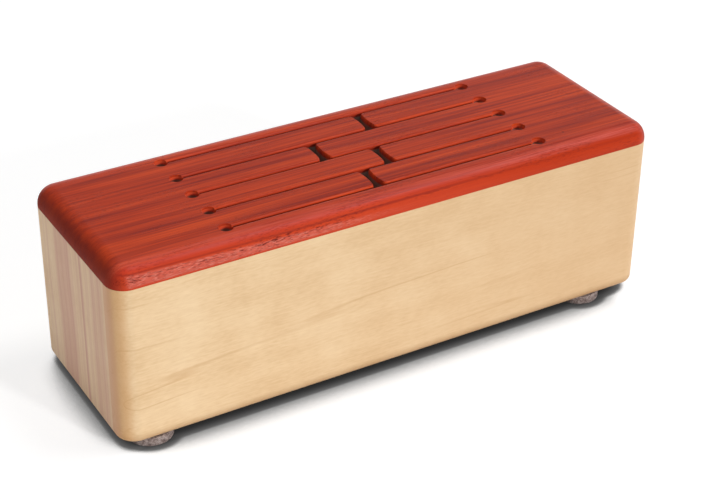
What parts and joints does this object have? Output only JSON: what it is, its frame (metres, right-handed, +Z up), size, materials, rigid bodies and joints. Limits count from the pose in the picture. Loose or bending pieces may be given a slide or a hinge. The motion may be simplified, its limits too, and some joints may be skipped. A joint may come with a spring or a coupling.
{
  "type": "slit drum",
  "caption": "Wooden slit drum: a closed box of pale boards with rounded corners on felt feet, under a red hardwood board whose slits free tuned tongues that sound when struck.",
  "frame": {"origin": "on the floor under the middle of the box, level with the undersides of the feet", "axes": "+X along the box's length towards its right end, +Y from the front wall to the back wall, +Z up out of the playing board"},
  "size_m": [0.45, 0.147, 0.149],
  "materials": {
    "red_wood": "oiled satin red hardwood with dark pores along the grain",
    "pale_wood": "clear satin lacquer on pale fine-grained wood",
    "base_wood": "sanded pale plywood",
    "felt": "pressed grey-brown felt with mixed light and dark fibres"
  },
  "bodies": {
    "drum_box": {"top_board": "red_wood", "front_wall": "pale_wood", "back_wall": "pale_wood", "left_end_wall": "pale_wood", "right_end_wall": "pale_wood", "bottom_board": "base_wood", "foot_front_left": "felt", "foot_front_right": "felt", "foot_back_left": "felt", "foot_back_right": "felt"},
    "row1_left": {"tongue_row1_left": "red_wood"},
    "row1_right": {"tongue_row1_right": "red_wood"},
    "row2_left": {"tongue_row2_left": "red_wood"},
    "row2_right": {"tongue_row2_right": "red_wood"},
    "row3_left": {"tongue_row3_left": "red_wood"},
    "row3_right": {"tongue_row3_right": "red_wood"},
    "row4_left": {"tongue_row4_left": "red_wood"},
    "row4_right": {"tongue_row4_right": "red_wood"}
  },
  "joints": [
    {"name": "row1_left_bend", "type": "hinge", "parent": "drum_box", "child": "row1_left", "pos_m": [-0.1312, 0.0399, 0.1415], "axis": [0, 1, 0], "range_deg": [-0.5, 0.5], "stiffness_Nm_per_rad": 1480},
    {"name": "row1_right_bend", "type": "hinge", "parent": "drum_box", "child": "row1_right", "pos_m": [0.1312, 0.0399, 0.1415], "axis": [0, -1, 0], "range_deg": [-0.5, 0.5], "stiffness_Nm_per_rad": 2480},
    {"name": "row2_left_bend", "type": "hinge", "parent": "drum_box", "child": "row2_left", "pos_m": [-0.1312, 0.0133, 0.1415], "axis": [0, 1, 0], "range_deg": [-0.5, 0.5], "stiffness_Nm_per_rad": 2240},
    {"name": "row2_right_bend", "type": "hinge", "parent": "drum_box", "child": "row2_right", "pos_m": [0.1312, 0.0133, 0.1415], "axis": [0, -1, 0], "range_deg": [-0.5, 0.5], "stiffness_Nm_per_rad": 1580},
    {"name": "row3_left_bend", "type": "hinge", "parent": "drum_box", "child": "row3_left", "pos_m": [-0.1312, -0.0133, 0.1415], "axis": [0, 1, 0], "range_deg": [-0.5, 0.5], "stiffness_Nm_per_rad": 1630},
    {"name": "row3_right_bend", "type": "hinge", "parent": "drum_box", "child": "row3_right", "pos_m": [0.1312, -0.0133, 0.1415], "axis": [0, -1, 0], "range_deg": [-0.5, 0.5], "stiffness_Nm_per_rad": 2150},
    {"name": "row4_left_bend", "type": "hinge", "parent": "drum_box", "child": "row4_left", "pos_m": [-0.1312, -0.0399, 0.1415], "axis": [0, 1, 0], "range_deg": [-0.5, 0.5], "stiffness_Nm_per_rad": 1970},
    {"name": "row4_right_bend", "type": "hinge", "parent": "drum_box", "child": "row4_right", "pos_m": [0.1312, -0.0399, 0.1415], "axis": [0, -1, 0], "range_deg": [-0.5, 0.5], "stiffness_Nm_per_rad": 1750}
  ]
}
